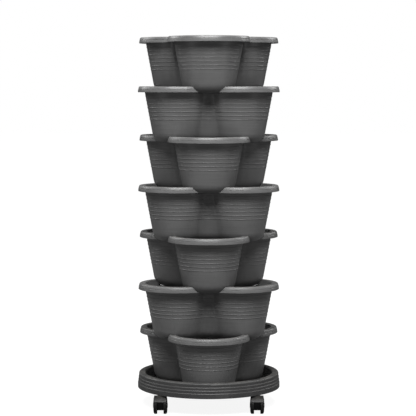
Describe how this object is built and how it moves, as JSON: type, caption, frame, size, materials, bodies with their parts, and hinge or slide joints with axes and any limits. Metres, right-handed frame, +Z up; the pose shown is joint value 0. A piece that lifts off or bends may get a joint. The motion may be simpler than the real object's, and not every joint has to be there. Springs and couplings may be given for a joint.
{
  "type": "stacked planter tower on casters",
  "caption": "Tower of three-lobed plant pots, each turned a sixth of a turn on the one below, on a round rolling saucer with swivelling twin-wheel casters.",
  "frame": {"origin": "on the tower's axis, on the floor under the casters", "axes": "+Z up along the stack; -Y is the front, where the top pot has a lobe; +X to the right seen from the front"},
  "size_m": [0.337, 0.3512, 0.8686],
  "materials": {
    "pot_plastic": "moulded polypropylene, dark grey, satin",
    "caster_shell": "moulded nylon, black, glossy",
    "caster_wheel": "moulded nylon, black, polished by rolling",
    "steel": "zinc plated steel"
  },
  "bodies": {
    "tray": {"rolling_tray": "pot_plastic", "caster_1_stem": "steel", "caster_1_grip_ring": "steel", "caster_1_snap_ring": "steel", "caster_2_stem": "steel", "caster_2_grip_ring": "steel", "caster_2_snap_ring": "steel", "caster_3_stem": "steel", "caster_3_grip_ring": "steel", "caster_3_snap_ring": "steel", "caster_4_stem": "steel", "caster_4_grip_ring": "steel", "caster_4_snap_ring": "steel"},
    "tier_7": {"tier_7_pot": "pot_plastic"},
    "tier_6": {"tier_6_pot": "pot_plastic"},
    "tier_5": {"tier_5_pot": "pot_plastic"},
    "tier_4": {"tier_4_pot": "pot_plastic"},
    "tier_3": {"tier_3_pot": "pot_plastic"},
    "tier_2": {"tier_2_pot": "pot_plastic"},
    "tier_1": {"tier_1_pot": "pot_plastic"},
    "caster_1": {"caster_1_hood": "caster_shell", "caster_1_axle": "steel"},
    "caster_1_left": {"caster_1_left_wheel": "caster_wheel"},
    "caster_1_right": {"caster_1_right_wheel": "caster_wheel"},
    "caster_2": {"caster_2_hood": "caster_shell", "caster_2_axle": "steel"},
    "caster_2_left": {"caster_2_left_wheel": "caster_wheel"},
    "caster_2_right": {"caster_2_right_wheel": "caster_wheel"},
    "caster_3": {"caster_3_hood": "caster_shell", "caster_3_axle": "steel"},
    "caster_3_left": {"caster_3_left_wheel": "caster_wheel"},
    "caster_3_right": {"caster_3_right_wheel": "caster_wheel"},
    "caster_4": {"caster_4_hood": "caster_shell", "caster_4_axle": "steel"},
    "caster_4_left": {"caster_4_left_wheel": "caster_wheel"},
    "caster_4_right": {"caster_4_right_wheel": "caster_wheel"}
  },
  "joints": [
    {"name": "tier_7_lift", "type": "slide", "parent": "tray", "child": "tier_7", "axis": [0, 0, 1], "range_m": [0, 0.06]},
    {"name": "tier_6_lift", "type": "slide", "parent": "tier_7", "child": "tier_6", "axis": [0, 0, 1], "range_m": [0, 0.06]},
    {"name": "tier_5_lift", "type": "slide", "parent": "tier_6", "child": "tier_5", "axis": [0, 0, 1], "range_m": [0, 0.06]},
    {"name": "tier_4_lift", "type": "slide", "parent": "tier_5", "child": "tier_4", "axis": [0, 0, 1], "range_m": [0, 0.06]},
    {"name": "tier_3_lift", "type": "slide", "parent": "tier_4", "child": "tier_3", "axis": [0, 0, 1], "range_m": [0, 0.06]},
    {"name": "tier_2_lift", "type": "slide", "parent": "tier_3", "child": "tier_2", "axis": [0, 0, 1], "range_m": [0, 0.06]},
    {"name": "tier_1_lift", "type": "slide", "parent": "tier_2", "child": "tier_1", "axis": [0, 0, 1], "range_m": [0, 0.06]},
    {"name": "caster_1_swivel", "type": "hinge", "parent": "tray", "child": "caster_1", "pos_m": [0.11172, -0.11172, 0.0434], "axis": [0, 0, 1], "continuous": true},
    {"name": "caster_1_left_roll", "type": "hinge", "parent": "caster_1", "child": "caster_1_left", "pos_m": [0.11172, -0.12172, 0.02], "axis": [1, 0, 0], "continuous": true},
    {"name": "caster_1_right_roll", "type": "hinge", "parent": "caster_1", "child": "caster_1_right", "pos_m": [0.11172, -0.12172, 0.02], "axis": [1, 0, 0], "continuous": true},
    {"name": "caster_2_swivel", "type": "hinge", "parent": "tray", "child": "caster_2", "pos_m": [0.11172, 0.11172, 0.0434], "axis": [0, 0, 1], "continuous": true},
    {"name": "caster_2_left_roll", "type": "hinge", "parent": "caster_2", "child": "caster_2_left", "pos_m": [0.11172, 0.10172, 0.02], "axis": [1, 0, 0], "continuous": true},
    {"name": "caster_2_right_roll", "type": "hinge", "parent": "caster_2", "child": "caster_2_right", "pos_m": [0.11172, 0.10172, 0.02], "axis": [1, 0, 0], "continuous": true},
    {"name": "caster_3_swivel", "type": "hinge", "parent": "tray", "child": "caster_3", "pos_m": [-0.11172, 0.11172, 0.0434], "axis": [0, 0, 1], "continuous": true},
    {"name": "caster_3_left_roll", "type": "hinge", "parent": "caster_3", "child": "caster_3_left", "pos_m": [-0.11172, 0.10172, 0.02], "axis": [1, 0, 0], "continuous": true},
    {"name": "caster_3_right_roll", "type": "hinge", "parent": "caster_3", "child": "caster_3_right", "pos_m": [-0.11172, 0.10172, 0.02], "axis": [1, 0, 0], "continuous": true},
    {"name": "caster_4_swivel", "type": "hinge", "parent": "tray", "child": "caster_4", "pos_m": [-0.11172, -0.11172, 0.0434], "axis": [0, 0, 1], "continuous": true},
    {"name": "caster_4_left_roll", "type": "hinge", "parent": "caster_4", "child": "caster_4_left", "pos_m": [-0.11172, -0.12172, 0.02], "axis": [1, 0, 0], "continuous": true},
    {"name": "caster_4_right_roll", "type": "hinge", "parent": "caster_4", "child": "caster_4_right", "pos_m": [-0.11172, -0.12172, 0.02], "axis": [1, 0, 0], "continuous": true}
  ]
}
